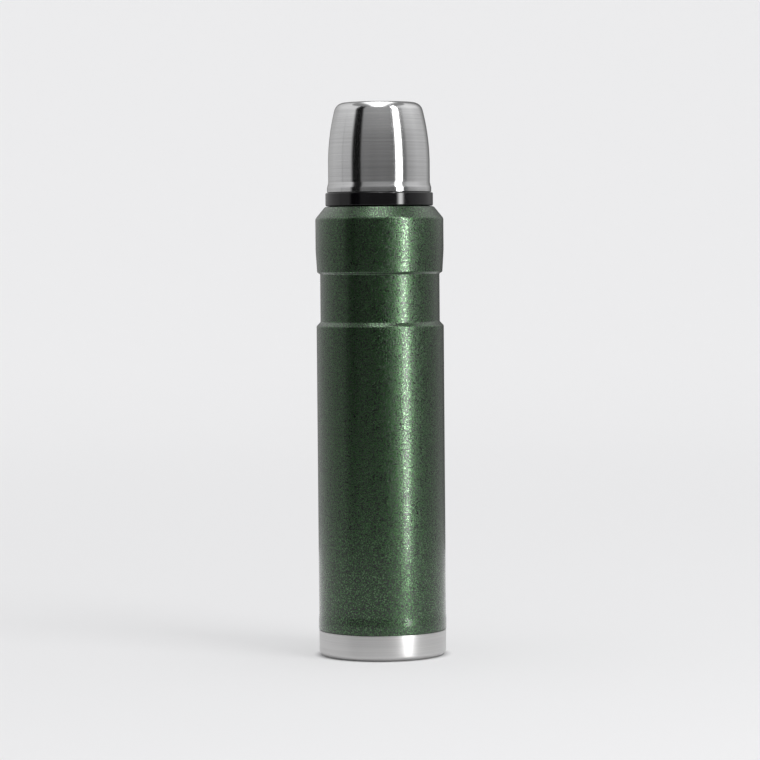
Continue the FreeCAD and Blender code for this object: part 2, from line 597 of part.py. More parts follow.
def stopper_cover():
    """Cover plate: sits on the sleeve, guides the button and carries the pouring duct."""
    skirt_outer = sleeve_bore - d.cover_fit
    skirt_inner = skirt_outer - d.cover_skirt_wall
    skirt_bottom = sleeve_top - d.cover_skirt
    body = turned_piece("stopper_cover", cover_bottom, [
        (guide_bore, cover_bottom), (guide_outer, cover_bottom), (guide_outer, sleeve_top),
        (skirt_inner, sleeve_top), (skirt_inner, skirt_bottom), (skirt_outer, skirt_bottom),
        (skirt_outer, sleeve_top), (sleeve_radius, sleeve_top), (sleeve_radius, cover_top, d.cover_rounding),
        (guide_bore, cover_top, d.moulding_rounding)])
    plate = sleeve_top - cover_bottom
    above = plate + d.cover_thickness + through
    half = d.mouth_width * 0.5
    outside = half + d.duct_wall
    pad(body, "pour_duct", rectangle(-outside, outside, -mouth_far - d.duct_wall,
                                     -guide_outer + d.duct_wall * 0.5, d.mouth_rounding),
        zero, plate + d.thread_sink)
    pocket(body, "pour_mouth", rectangle(-half, half, -mouth_far, -mouth_near, d.mouth_rounding),
           -through, above)
    half = d.pad_width * 0.5 + d.running_gap
    pocket(body, "pad_slot", rectangle(-half, half, pad_near - d.running_gap,
                                       pad_far + d.latch_travel + d.running_gap, d.pad_rounding),
           plate - through, above)
    half = d.tongue_width * 0.5 + d.running_gap
    pocket(body, "tongue_window", rectangle(-half, half, guide_bore * 0.5, guide_outer + through),
           latch_bottom - d.running_gap - cover_bottom, latch_top + d.running_gap - cover_bottom)
    round_pocket(body, "cover_vent", -vent_place, zero, d.vent_radius, plate - through, above)


def mouth_gasket():
    """Silicone ring between the vessel's lip and the deck."""
    bottom = lip_top + d.seat_gap
    top = deck_bottom - d.seat_gap
    near = d.neck_radius + d.running_gap
    far = near + d.gasket_width
    soft = d.thread_sink
    turned_piece("mouth_gasket", bottom, [(near, bottom, soft), (far, bottom, soft), (far, top, soft),
                                          (near, top, soft)])


def plug_seal():
    """Double-lipped silicone ring in the plug's groove, just inside the throat."""
    bottom = plug_bottom + d.plug_seal_flange + d.running_gap * 0.5
    top = bottom + d.plug_seal_height
    near = plug_radius - d.plug_groove_depth + d.running_gap
    lip = throat_radius - d.running_gap
    quarter = d.plug_seal_height * 0.25
    soft = d.running_gap * 0.5
    turned_piece("plug_seal", bottom, [
        (near, bottom), (lip - d.seal_lip, bottom), (lip, bottom + quarter, soft),
        (lip - d.seal_lip, bottom + quarter * 2, soft), (lip, top - quarter, soft),
        (lip - d.seal_lip, top), (near, top)])


def stem_seal():
    """Small ring round the stem, in the pocket of the deck."""
    bottom = deck_top - d.stem_seal_height + d.seat_gap
    top = deck_top - d.seat_gap
    near = d.stem_radius + d.seat_gap * 2
    soft = d.thread_sink
    turned_piece("stem_seal", bottom, [(near, bottom), (seal_pocket, bottom), (seal_pocket, top, soft),
                                       (near, top, soft)])


def valve_cage():
    """Ring snapped into the plug: the valve's seat below, three arms and a hub that guides the stem."""
    outer = plug_bore - d.seat_gap
    inner = outer - d.cage_wall
    top = plug_bottom + d.cage_height
    seat_top = plug_bottom + d.seat_thickness
    soft = d.moulding_rounding
    hub_radius = stem_hole + d.hub_wall
    body = turned_piece("valve_cage", plug_bottom, [
        (seat_radius, plug_bottom, soft), (outer, plug_bottom), (outer, top, soft), (inner, top, soft),
        (inner, seat_top, soft), (seat_radius, seat_top, soft)])
    middle = d.cage_height - d.hub_height * 0.5
    rise = d.arm_height * 0.5
    half = d.arm_width * 0.5
    arm = pad(body, "cage_arm", rectangle(hub_radius * 0.75, inner + soft, -half, half),
              middle - rise, middle + rise)
    doc.recompute()
    arms = body.newObject("PartDesign::PolarPattern", "cage_arms")
    arms.Originals = [arm]
    arms.Axis = (arm.Profile[0], ["N_Axis"])
    arms.Angle = WHOLE_TURN
    arms.Occurrences = 3
    body.Tip = arms
    doc.recompute()
    hub = new_sketch(body, "cage_hub_outline", "XY_Plane", d.cage_height - d.hub_height)
    circle(hub, zero, zero, hub_radius)
    hub_pad = body.newObject("PartDesign::Pad", "cage_hub")
    hub_pad.Profile = hub
    bind(hub_pad, "Length", d.hub_height)
    doc.recompute()
    round_pocket(body, "stem_bore", zero, zero, stem_hole, d.cage_height - d.hub_height - through,
                 d.cage_height + through)


def valve_disc():
    """Disc that closes the seat from below, with the socket for the stem."""
    bottom = valve_face - d.disc_thickness
    hub = d.stem_radius + d.disc_hub_wall
    hub_top = valve_face + d.disc_hub_height
    socket_bottom = valve_face - d.socket_depth
    soft = d.moulding_rounding
    turned_piece("valve_disc", bottom, [
        (zero, bottom), (disc_radius - d.disc_bevel, bottom, d.throat_rounding),
        (disc_radius, valve_face - d.disc_edge, soft), (disc_radius, valve_face), (hub, valve_face, soft),
        (hub, hub_top), (stem_socket, hub_top), (stem_socket, socket_bottom), (zero, socket_bottom)])


def valve_seal():
    """Silicone ring on the disc; it closes against the seat."""
    top = valve_face + d.valve_seal_height
    far = disc_radius + d.thread_sink
    near = far - d.valve_seal_width
    soft = d.moulding_rounding
    turned_piece("valve_seal", valve_face, [(near, valve_face), (far, valve_face), (far, top, soft),
                                            (near, top, soft)])


def valve_stem():
    """Steel rod from the button to the valve disc."""
    bottom = valve_face - d.socket_depth + d.seat_gap
    top = button_ceiling + d.stem_socket_depth - d.seat_gap
    soft = d.moulding_rounding
    turned_piece("valve_stem", bottom, [
        (zero, bottom), (d.stem_radius, bottom, soft), (d.stem_radius, top, soft), (zero, top)])


def push_button():
    """Button: dished top, skirt with the latch's catch groove, boss that holds the stem."""
    outer = d.button_radius
    inner = outer - d.button_wall
    catch = outer - d.catch_depth
    catch_bottom = latch_bottom + d.press_travel - d.running_gap
    catch_top = latch_top + d.press_travel + d.running_gap
    boss = stem_socket + d.button_boss_wall
    boss_bottom = button_ceiling - d.button_boss_height
    dish = button_top - d.button_dish
    rim = outer - d.button_rim
    socket_top = button_ceiling + d.stem_socket_depth
    soft = d.moulding_rounding
    turned_piece("push_button", button_bottom, [
        (inner, button_bottom), (outer, button_bottom, soft), (outer, catch_bottom),
        (catch, catch_bottom), (catch, catch_top), (outer, catch_top),
        (outer, button_top, d.cover_rounding), (rim, button_top, soft),
        (rim - d.button_dish_run, dish, d.throat_rounding), (zero, dish), (zero, socket_top),
        (stem_socket, socket_top), (stem_socket, boss_bottom), (boss, boss_bottom, soft),
        (boss, button_ceiling, soft), (inner, button_ceiling, soft)])


def return_spring():
    """Coil spring between the deck and the button."""
    coil_radius = d.button_radius - d.button_wall - d.spring_inset
    bottom = deck_top + d.seat_gap + d.spring_wire
    top = button_ceiling - d.seat_gap - d.spring_wire
    body = new_body("return_spring", bottom)
    profile = new_sketch(body, "return_spring_wire", "XZ_Plane")
    circle(profile, coil_radius, zero, d.spring_wire)
    wind(body, "return_spring_coil", profile, (top - bottom) / d.spring_turns, d.spring_turns)


def release_slider():
    """Latch under the cover: a tongue that catches the button and a pad for the finger."""
    body = new_body("release_slider", latch_bottom)
    tip = d.button_radius + d.running_gap
    root = tip + d.tongue_length
    half = d.latch_width * 0.5
    tongue = d.tongue_width * 0.5
    soft = d.latch_rounding
    pad(body, "latch_plate", [
        (-tongue, tip), (tongue, tip), (tongue, root, soft), (half, root, soft), (half, latch_back, soft),
        (-half, latch_back, soft), (-half, root, soft), (-tongue, root, soft)], zero, d.latch_thickness)
    half = d.pad_width * 0.5
    pad(body, "finger_pad", rectangle(-half, half, pad_near, pad_far, d.pad_rounding),
        d.latch_thickness - d.thread_sink, cover_top + d.pad_stand - latch_bottom)


def latch_spring():
    """Small coil spring that pushes the latch towards the button."""
    start = latch_back + d.seat_gap + d.latch_spring_wire
    stop = sleeve_bore - d.running_gap - d.latch_spring_wire
    body = new_body("latch_spring", latch_bottom + d.latch_thickness * 0.5)
    bind(body, "Placement.Base.y", start)
    profile = new_sketch(body, "latch_spring_wire", "XY_Plane")
    circle(profile, d.latch_spring_radius, zero, d.latch_spring_wire)
    wind(body, "latch_spring_coil", profile, (stop - start) / d.latch_spring_turns, d.latch_spring_turns)


# ------------------------------------------------------------------ cup
def cup_shell():
    """Brushed steel outside of the cup: rim, bead, side that leans in towards a crowned top."""
    wall = d.cup_wall
    soft = d.cup_bead_rounding
    edge = cup_top_radius - wall * 0.8
    turned_piece("cup_shell", cup_rim, [
        (cup_rim_radius - wall, cup_rim), (cup_rim_radius, cup_rim, d.thread_sink),
        (cup_rim_radius, cup_bead, soft), (cup_radius, cup_side, soft), (cup_radius, cup_bend, d.cup_bulge),
        (cup_top_radius, cup_corner, d.cup_edge_rounding), (crown_flat_radius, cup_top, d.crown_bulge),
        (zero, cup_top), (zero, cup_top - wall), (crown_flat_radius, cup_top - wall, d.crown_bulge),
        (edge, cup_corner - wall, d.cup_edge_rounding - wall),
        (cup_radius - wall, cup_bend, d.cup_bulge - wall), (cup_radius - wall, cup_side, soft),
        (cup_rim_radius - wall, cup_bead, soft)])


def cup_liner():
    """Black moulded inside of the cup with the thread, and the ledge that holds the seal."""
    bottom = cup_rim + d.liner_gap
    top = cup_corner - d.cup_wall - d.liner_top_gap
    floor = top - d.liner_top_wall
    edge = cup_top_radius - d.liner_edge_gap
    ledge_radius = liner_root - d.liner_ledge_width
    soft = d.moulding_rounding
    body = turned_piece("cup_liner", bottom, [
        (liner_root, bottom, soft), (liner_outer, bottom, soft), (liner_outer, cup_bend, d.liner_bulge),
        (edge, top, d.liner_edge_rounding), (zero, top), (zero, floor),
        (edge - d.liner_edge_wall, floor, d.liner_floor_rounding),
        (ledge_radius, cup_bend, d.liner_inner_bulge), (ledge_radius, liner_ledge, soft),
        (liner_root, liner_ledge)])
    thread(body, "liner_thread", liner_root + d.thread_sink, liner_crest,
           ring_top + d.cup_thread_start + d.thread_pitch * 0.5, bottom)


def cup_shell_seal():
    """Ring between the steel shell and the liner, just inside the rim."""
    bottom = cup_rim + d.shell_seal_lift
    top = bottom + d.shell_seal_height
    near = liner_outer + d.shell_seal_gap
    far = cup_rim_radius - d.cup_wall - d.shell_seal_gap
    soft = d.moulding_rounding
    turned_piece("cup_shell_seal", bottom, [(near, bottom, soft), (far, bottom, soft), (far, top, soft),
                                            (near, top, soft)])


def cup_seal():
    """Flat silicone ring under the liner's ledge; it rests on the stopper's cover."""
    bottom = cup_seal_bottom
    top = liner_ledge - d.seat_gap
    near = sleeve_radius - d.cup_seal_overlap
    far = liner_crest - d.running_gap
    soft = d.thread_sink
    turned_piece("cup_seal", bottom, [(near, bottom, soft), (far, bottom), (far, top), (near, top, soft)])


for build in (outer_shell, shoulder_shell, inner_bottom, inner_corner, inner_tube, inner_shoulder,
              inner_neck, copper_foil, getter, shell_bottom, vacuum_seal, base_cup,
              stopper_housing, stopper_cover, mouth_gasket, plug_seal, stem_seal,
              valve_cage, valve_disc, valve_seal, valve_stem, push_button, return_spring,
              release_slider, latch_spring, cup_shell, cup_liner, cup_shell_seal, cup_seal):
    build()
doc.recompute()

# ------------------------------------------------------------------ checks and export
for item in doc.Objects:
    if "Invalid" in item.State or "Error" in item.State:
        raise RuntimeError("%s has failed: %s" % (item.Name, item.State))
for body in PIECES:
    if body.Shape.isNull() or not body.Shape.isValid() or len(body.Shape.Solids) != 1:
        raise RuntimeError("%s has no single valid solid" % body.Label)
for body in PIECES:
    body.Shape.exportStep(os.path.join("parts", body.Label + ".step"))
    box = body.Shape.BoundBox
    print("%-16s %9.1f mm3  z %7.2f to %7.2f" % (body.Label, body.Shape.Volume, box.ZMin, box.ZMax))
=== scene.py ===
import math

import bpy
from mathutils import Matrix, Vector


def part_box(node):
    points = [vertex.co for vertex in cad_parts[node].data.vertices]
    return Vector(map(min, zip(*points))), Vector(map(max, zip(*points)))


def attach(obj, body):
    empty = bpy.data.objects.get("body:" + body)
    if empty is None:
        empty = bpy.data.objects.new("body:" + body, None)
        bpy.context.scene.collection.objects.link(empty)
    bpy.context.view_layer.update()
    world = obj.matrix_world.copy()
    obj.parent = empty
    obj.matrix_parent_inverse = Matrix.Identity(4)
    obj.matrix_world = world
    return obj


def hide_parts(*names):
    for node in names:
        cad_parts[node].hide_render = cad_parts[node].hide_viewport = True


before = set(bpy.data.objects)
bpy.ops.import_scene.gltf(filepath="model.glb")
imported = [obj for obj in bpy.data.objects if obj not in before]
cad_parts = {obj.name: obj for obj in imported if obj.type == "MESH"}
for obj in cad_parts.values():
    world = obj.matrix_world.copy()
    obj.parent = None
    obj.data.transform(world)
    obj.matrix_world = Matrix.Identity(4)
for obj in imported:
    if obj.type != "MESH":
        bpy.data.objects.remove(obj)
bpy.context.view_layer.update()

MM = 0.001
SEGMENTS = 320
LONGEST_STEP = 0.008          # longest run of a turned outline between two rings
SHARP_EDGE = 32.0             # degrees
LONG_ARC, LONG_ARC_STEPS = 0.05, 24           # bulges of a larger radius get a fixed number of steps
STEEL_LINE = 0.00035          # width of one brushing line
STEEL_BLUR = 3.2              # how much wider the second, softer set of lines is
STEEL_ALONG, STEEL_BLUR_ALONG = 14.0, 8.4     # how fast each set changes along its lines
STEEL_DEPTH = 0.000004


# ------------------------------------------------------------------ node helpers
def new_material(name):
    material = bpy.data.materials.new(name)
    material.use_nodes = True
    tree = material.node_tree
    shader = tree.nodes["Principled BSDF"]
    return material, tree, shader


def add(tree, kind, inputs=None, **settings):
    """A shader node with its settings, and its inputs given as values or as sockets to link."""
    node = tree.nodes.new(kind)
    for key, value in settings.items():
        setattr(node, key, value)
    for key, value in (inputs or {}).items():
        if isinstance(value, bpy.types.NodeSocket):
            tree.links.new(value, node.inputs[key])
        else:
            node.inputs[key].default_value = value
    return node


def maths(tree, operation, first, second=0.0):
    return add(tree, "ShaderNodeMath", {0: first, 1: second}, operation=operation).outputs[0]


def object_point(tree):
    return add(tree, "ShaderNodeTexCoord").outputs["Object"]


def noise(tree, vector, scale, detail=2.0, roughness=0.5, distortion=0.0):
    node = add(tree, "ShaderNodeTexNoise", {"Vector": vector, "Scale": scale, "Detail": detail,
                                            "Roughness": roughness, "Distortion": distortion})
    return node.outputs["Fac"]


def ramp(tree, factor, stops, interpolation="LINEAR"):
    """A colour ramp from (place, colour) stops."""
    node = add(tree, "ShaderNodeValToRGB", {"Fac": factor})
    node.color_ramp.interpolation = interpolation
    elements = node.color_ramp.elements
    while len(elements) < len(stops):
        elements.new(0.5)
    for element, (place, colour) in zip(elements, stops):
        element.position = place
        element.color = (*colour, 1.0)
    return node.outputs["Color"]


def spread(tree, factor, low, high):
    """Stretch a 0 to 1 factor to the range low to high."""
    return add(tree, "ShaderNodeMapRange", {"Value": factor, "To Min": low, "To Max": high}).outputs[0]


def bump(tree, shader, height, distance, strength=1.0):
    node = add(tree, "ShaderNodeBump", {"Height": height, "Distance": distance, "Strength": strength})
    tree.links.new(node.outputs["Normal"], shader.inputs["Normal"])
    return node.outputs["Normal"]


def grey(value):
    return (value, value, value)


# ------------------------------------------------------------------ materials
def hammertone_paint():
    """Green hammertone: flat metallic green islands between dark sunken borders, under a clear coat."""
    material, tree, shader = new_material("hammertone_green")
    point = object_point(tree)
    coarse = noise(tree, point, 1300.0, 1.0, 0.5, 0.4)
    fine = noise(tree, point, 2300.0, 1.0)
    grain = maths(tree, "ADD", maths(tree, "MULTIPLY", coarse, 0.7), maths(tree, "MULTIPLY", fine, 0.3))
    drift = noise(tree, point, 35.0, 2.0)
    colour = ramp(tree, grain, [(0.40, (0.0008, 0.0025, 0.0008)), (0.48, (0.008, 0.032, 0.008)),
                                (0.57, (0.033, 0.116, 0.029)), (0.70, (0.13, 0.22, 0.12))])
    shade = add(tree, "ShaderNodeMix", {"Factor": spread(tree, drift, 0.0, 0.3), "A": colour,
                                        "B": (0.010, 0.030, 0.011, 1.0)}, data_type="RGBA")
    tree.links.new(shade.outputs["Result"], shader.inputs["Base Color"])
    tree.links.new(spread(tree, grain, 0.46, 0.18), shader.inputs["Roughness"])
    shader.inputs["Metallic"].default_value = 1.0
    shader.inputs["Coat Weight"].default_value = 1.0
    shader.inputs["Coat Roughness"].default_value = 0.14
    shader.inputs["Coat IOR"].default_value = 1.58
    islands = add(tree, "ShaderNodeMapRange", {"Value": grain, "From Min": 0.40, "From Max": 0.56},
                  interpolation_type="SMOOTHSTEP").outputs[0]
    normal = bump(tree, shader, islands, 0.000050, 1.0)
    tree.links.new(normal, shader.inputs["Coat Normal"])
    return material


def brushed_steel(name, tone, low=0.13, high=0.25, stretch_of_light=0.88):
    """Steel brushed round the centre line: fine lines that follow the turning, in bump and roughness."""
    material, tree, shader = new_material(name)
    point = object_point(tree)
    axes = add(tree, "ShaderNodeSeparateXYZ", {"Vector": point})
    flat = add(tree, "ShaderNodeCombineXYZ", {"X": axes.outputs["X"], "Y": axes.outputs["Y"]}).outputs[0]
    radius = add(tree, "ShaderNodeVectorMath", {0: flat}, operation="LENGTH").outputs["Value"]
    across = maths(tree, "ADD", axes.outputs["Z"], radius)
    layers = []
    for width, stretch in ((STEEL_LINE, STEEL_ALONG), (STEEL_LINE * STEEL_BLUR, STEEL_BLUR_ALONG)):
        vector = add(tree, "ShaderNodeCombineXYZ", {
            "X": maths(tree, "MULTIPLY", axes.outputs["X"], stretch),
            "Y": maths(tree, "MULTIPLY", axes.outputs["Y"], stretch),
            "Z": maths(tree, "DIVIDE", across, width)}).outputs[0]
        layers.append(noise(tree, vector, 1.0, 2.0))
    sharp_part = maths(tree, "MULTIPLY", layers[0], 0.6)
    lines = maths(tree, "ADD", sharp_part, maths(tree, "MULTIPLY", layers[1], 0.4))
    smudge = noise(tree, point, 22.0, 3.0)
    colour = ramp(tree, lines, [(0.25, tuple(0.80 * c for c in tone)), (0.75, tone)])
    tree.links.new(colour, shader.inputs["Base Color"])
    wear = maths(tree, "ADD", maths(tree, "MULTIPLY", lines, 0.7), maths(tree, "MULTIPLY", smudge, 0.3))
    tree.links.new(spread(tree, wear, low, high), shader.inputs["Roughness"])
    shader.inputs["Metallic"].default_value = 1.0
    shader.inputs["Anisotropic"].default_value = stretch_of_light
    shader.inputs["Anisotropic Rotation"].default_value = 0.25
    tangent = add(tree, "ShaderNodeTangent", direction_type="RADIAL", axis="Z")
    tree.links.new(tangent.outputs["Tangent"], shader.inputs["Tangent"])
    bump(tree, shader, lines, STEEL_DEPTH, 0.6)
    return material


def plain_metal(name, tone, low, high, scale=300.0, depth=0.00001):
    """Sheet or wire with a faintly uneven surface."""
    material, tree, shader = new_material(name)
    point = object_point(tree)
    uneven = noise(tree, point, scale, 3.0)
    cloud = noise(tree, point, scale * 0.1, 2.0)
    colour = ramp(tree, cloud, [(0.3, tuple(0.8 * c for c in tone)), (0.7, tone)])
    tree.links.new(colour, shader.inputs["Base Color"])
    tree.links.new(spread(tree, uneven, low, high), shader.inputs["Roughness"])
    shader.inputs["Metallic"].default_value = 1.0
    bump(tree, shader, uneven, depth, 0.5)
    return material


def moulding(name, tone, low, high, grain=2500.0, depth=0.000006, coat=0.0, shine=0.5):
    """Moulded plastic: even colour with a faint flow mottle and the grain of the mould."""
    material, tree, shader = new_material(name)
    point = object_point(tree)
    texture = noise(tree, point, grain, 2.0)
    flow = noise(tree, point, 60.0, 3.0, 0.5, 0.8)
    colour = ramp(tree, flow, [(0.3, tuple(0.82 * c for c in tone)), (0.7, tone)])
    tree.links.new(colour, shader.inputs["Base Color"])
    rough = maths(tree, "ADD", maths(tree, "MULTIPLY", texture, 0.5), maths(tree, "MULTIPLY", flow, 0.5))
    tree.links.new(spread(tree, rough, low, high), shader.inputs["Roughness"])
    shader.inputs["Specular IOR Level"].default_value = shine
    shader.inputs["Coat Weight"].default_value = coat
    shader.inputs["Coat Roughness"].default_value = 0.05
    bump(tree, shader, texture, depth, 0.5)
    return material


def silicone(name, tone):
    """Soft matt silicone with dust-fine grain."""
    material, tree, shader = new_material(name)
    point = object_point(tree)
    dust = noise(tree, point, 3000.0, 3.0)
    cloud = noise(tree, point, 150.0, 2.0)
    colour = ramp(tree, cloud, [(0.3, tuple(0.9 * c for c in tone)), (0.7, tone)])
    tree.links.new(colour, shader.inputs["Base Color"])
    tree.links.new(spread(tree, dust, 0.42, 0.62), shader.inputs["Roughness"])
    shader.inputs["Subsurface Weight"].default_value = 0.15
    shader.inputs["Subsurface Radius"].default_value = (0.002, 0.002, 0.002)
    bump(tree, shader, dust, 0.000008, 0.4)
    return material


# ------------------------------------------------------------------ turned pieces
def corner_arc(before, corner, after, radius):
    """Points of the rounding at a corner, finer for a larger turn."""
    to_before = (before - corner).normalized()
    to_after = (after - corner).normalized()
    half = to_before.angle(to_after) / 2
    reach = radius / math.tan(half)
    start = corner + to_before * reach
    end = corner + to_after * reach
    centre = corner + (to_before + to_after).normalized() * (radius / math.sin(half))
    turn = (start - centre).angle_signed(end - centre)
    steps = LONG_ARC_STEPS if radius > LONG_ARC else max(3, int(abs(math.degrees(turn)) / 6) + 1)
    points = []
    for i in range(steps + 1):
        angle = -turn * i / steps
        spoke = start - centre
        points.append(centre + Vector((spoke.x * math.cos(angle) - spoke.y * math.sin(angle),
                                       spoke.x * math.sin(angle) + spoke.y * math.cos(angle))))
    return points


def profile_points(corners):
    """A closed or axis-to-axis outline in metres from (radius, height[, rounding]) corners in mm."""
    points = [Vector((c[0], c[1])) * MM for c in corners]
    result = []
    count = len(points)
    for i, corner in enumerate(corners):
        if len(corner) == 3:
            result += corner_arc(points[i - 1], points[i], points[(i + 1) % count], corner[2] * MM)
        else:
            result.append(points[i])
    return result


def densify(points, closed, longest):
    """Split long runs, so that a reflection bends evenly along them."""
    result = []
    count = len(points)
    for i in range(count if closed else count - 1):
        start, end = points[i], points[(i + 1) % count]
        steps = max(1, math.ceil((end - start).length / longest))
        result += [start.lerp(end, k / steps) for k in range(steps)]
    if not closed:
        result.append(points[-1])
    return result


def turned_mesh(name, corners, segments=SEGMENTS, longest=LONGEST_STEP):
    """Turn an outline about the centre line into a smooth mesh."""
    points = profile_points(corners)
    on_axis = points[0].x < 1e-7 and points[-1].x < 1e-7
    points = densify(points, not on_axis, longest)
    vertices, rings = [], []
    for point in points:
        if point.x < 1e-7:
            rings.append([len(vertices)] * segments)
            vertices.append((0.0, 0.0, point.y))
            continue
        rings.append(list(range(len(vertices), len(vertices) + segments)))
        for k in range(segments):
            angle = 2 * math.pi * k / segments
            vertices.append((point.x * math.cos(angle), point.x * math.sin(angle), point.y))
    faces = []
    for i in range(len(rings) if not on_axis else len(rings) - 1):
        low, high = rings[i], rings[(i + 1) % len(rings)]
        for k in range(segments):
            after = (k + 1) % segments
            face = []
            for index in (low[k], low[after], high[after], high[k]):
                if index not in face:
                    face.append(index)
            faces.append(face)
    mesh = bpy.data.meshes.new(name)
    mesh.from_pydata(vertices, [], faces)
    mesh.validate()
    mesh.polygons.foreach_set("use_smooth", [True] * len(mesh.polygons))
    mesh.set_sharp_from_angle(angle=math.radians(SHARP_EDGE))
    mesh.update()
    return mesh


def lathe(name, body, slot, corners, material, replaced=()):
    """A turned piece tied to its body."""
    return place(name, turned_mesh(name, corners), body, slot, material, replaced)


def place(name, mesh, body, slot, material, replaced=()):
    piece = bpy.data.objects.new(name, mesh)
    bpy.context.scene.collection.objects.link(piece)
    piece.data.materials.append(material)
    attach(piece, body)
    if replaced:
        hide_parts(*replaced)
    return piece


def dress(node, material):
    """Give a CAD node's own mesh a material."""
    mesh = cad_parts[node].data
    for index in range(len(mesh.materials)):
        mesh.materials[index] = material
    if not mesh.materials:
        mesh.materials.append(material)


# ------------------------------------------------------------------ the flask
def painted_body(paint):
    """The painted wall with its hem, waist, band, shoulder and neck."""
    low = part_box("outer_shell")[0].z / MM
    lathe("painted_body", "vessel", "green_paint", [
        (36.9, low), (36.9, 15.6), (37.8, 15.6, 0.25), (37.8, 20.1, 20), (37.5, 25.1, 20),
        (37.5, 194.4, 1.5), (35.15, 196.8, 1.5), (35.15, 224.9, 0.8), (36.9, 226.0, 0.9),
        (37.7, 238.8, 60), (37.7, 257.5, 2.5), (32.0, 264.5, 2), (24.4, 264.7, 0.6), (24.4, 270.4),
        (23.8, 270.4), (23.8, 263.9, 0.6), (31.6, 263.7, 1.5), (37.1, 257.2, 2), (37.1, 238.8, 60),
        (36.3, 226.6, 0.5), (34.55, 225.5, 0.8), (34.55, 196.6, 1.2), (36.9, 194.2, 1.5),
        (36.9, 16.5, 0.6), (36.3, 16.2, 0.25), (36.3, low)], paint, ["outer_shell", "shoulder_shell"])


def steel_foot(steel):
    lathe("steel_foot", "vessel", "foot_steel", [
        (0, 1.6), (27, 1.6, 1), (29, 0, 1), (37.5, 0, 3), (37.5, 15, 0.2), (37, 15), (37, 0.5, 2.5),
        (29.3, 0.5, 1), (27.3, 2.1, 1), (0, 2.1)], steel, ["base_cup"])


def steel_cup(steel):
    lathe("steel_cup", "cup", "cup_steel", [
        (0, 326), (12.5, 326, 240), (24.94, 325.2, 6), (29.9, 305.2, 130), (29.9, 278.5, 1.5),
        (30.7, 275.6, 1.5), (30.7, 272.9, 0.2), (30.2, 272.9), (30.2, 275.6, 1.5), (29.4, 278.5, 1.5),
        (29.4, 305.2, 129.5), (24.54, 324.7, 5.5), (12.5, 325.5, 240), (0, 325.5)], steel, ["cup_shell"])


def flask():
    painted_body(hammertone_paint())
    steel_foot(brushed_steel("foot_brushed_steel", (0.66, 0.655, 0.65), 0.28, 0.42, 0.45))
    steel_cup(brushed_steel("cup_brushed_steel", (0.67, 0.67, 0.675), 0.09, 0.19))
    gloss = moulding("black_gloss_moulding", (0.0022, 0.0018, 0.0026), 0.08, 0.15, 900.0, 0.000002, 0.1, 0.42)
    satin = moulding("black_satin_moulding", (0.018, 0.018, 0.020), 0.28, 0.42)
    matt = moulding("black_inner_moulding", (0.022, 0.022, 0.024), 0.40, 0.55)
    clear_grey = silicone("grey_silicone", (0.55, 0.55, 0.53))
    dark = silicone("black_silicone", (0.03, 0.03, 0.03))
    spring = plain_metal("spring_wire", (0.55, 0.55, 0.56), 0.18, 0.32, 900.0)
    bottle = brushed_steel("bottle_steel", (0.60, 0.59, 0.57), 0.14, 0.24)
    dressing = {
        "inner_bottom": bottle,
        "inner_corner": bottle,
        "inner_tube": bottle,
        "inner_shoulder": bottle,
        "inner_neck": bottle,
        "copper_foil": plain_metal("copper_foil", (0.80, 0.42, 0.27), 0.15, 0.35, 120.0, 0.0001),
        "getter": plain_metal("getter_metal", (0.30, 0.30, 0.31), 0.5, 0.75, 1500.0, 0.00004),
        "shell_bottom": plain_metal("closure_steel", (0.52, 0.51, 0.50), 0.25, 0.42),
        "vacuum_seal": plain_metal("solder", (0.50, 0.50, 0.49), 0.2, 0.45, 500.0, 0.00006),
        "stopper_housing": gloss,
        "stopper_cover": satin,
        "mouth_gasket": clear_grey,
        "plug_seal": clear_grey,
        "stem_seal": clear_grey,
        "valve_seal": clear_grey,
        "cup_seal": clear_grey,
        "cup_shell_seal": dark,
        "valve_cage": matt,
        "valve_disc": matt,
        "cup_liner": matt,
        "push_button": moulding("button_moulding", (0.020, 0.020, 0.022), 0.22, 0.34),
        "release_slider": moulding("grey_slider_moulding", (0.16, 0.165, 0.17), 0.32, 0.46),
        "valve_stem": plain_metal("ground_steel", (0.58, 0.58, 0.58), 0.12, 0.22, 1200.0),
        "return_spring": spring,
        "latch_spring": spring,
    }
    for node, material in dressing.items():
        dress(node, material)


# ------------------------------------------------------------------ studio
def emission(name):
    material = bpy.data.materials.new(name)
    material.use_nodes = True
    tree = material.node_tree
    tree.nodes.clear()
    glow = add(tree, "ShaderNodeEmission", {"Color": (1.0, 1.0, 1.0, 1.0)})
    output = add(tree, "ShaderNodeOutputMaterial")
    tree.links.new(glow.outputs[0], output.inputs["Surface"])
    return material, tree, glow


def only_in_reflections(card):
    card.visible_camera = False
    card.visible_diffuse = False
    card.visible_shadow = False
    card.visible_transmission = False
    card.visible_volume_scatter = False


ROOM_RADIUS = 0.62
ROOM_BOTTOM, ROOM_HEIGHT = -0.02, 1.3
STUDIO_SEGMENTS = 96
# the room's brightness round the flask, in degrees from the camera's side, to the right positive
ROOM_TONES = [(-180, 0.28), (-168, 0.14), (-156, 0.36), (-120, 0.46), (-92, 0.44), (-89.5, 0.18),
              (-87, 0.38), (-66, 0.35), (-60, 0.002), (-43, 0.002), (-38, 0.12), (-28, 0.13),
              (-12, 0.09), (5, 0.11), (24, 0.08), (33, 0.05), (60, 0.08), (68, 0.24), (95, 0.38),
              (130, 0.40), (152, 0.16), (160, 0.08), (172, 0.12), (180, 0.28)]
UPPER_TONES = [(-180, 0.45), (-170, 0.20), (-156, 0.70), (-120, 1.00), (-66, 0.98), (-60, 0.01),
               (-43, 0.01), (-38, 0.42), (24, 0.46), (33, 0.40), (60, 0.45), (68, 0.90), (95, 1.15),
               (130, 1.00), (152, 0.45), (162, 0.20), (172, 0.25), (180, 0.45)]
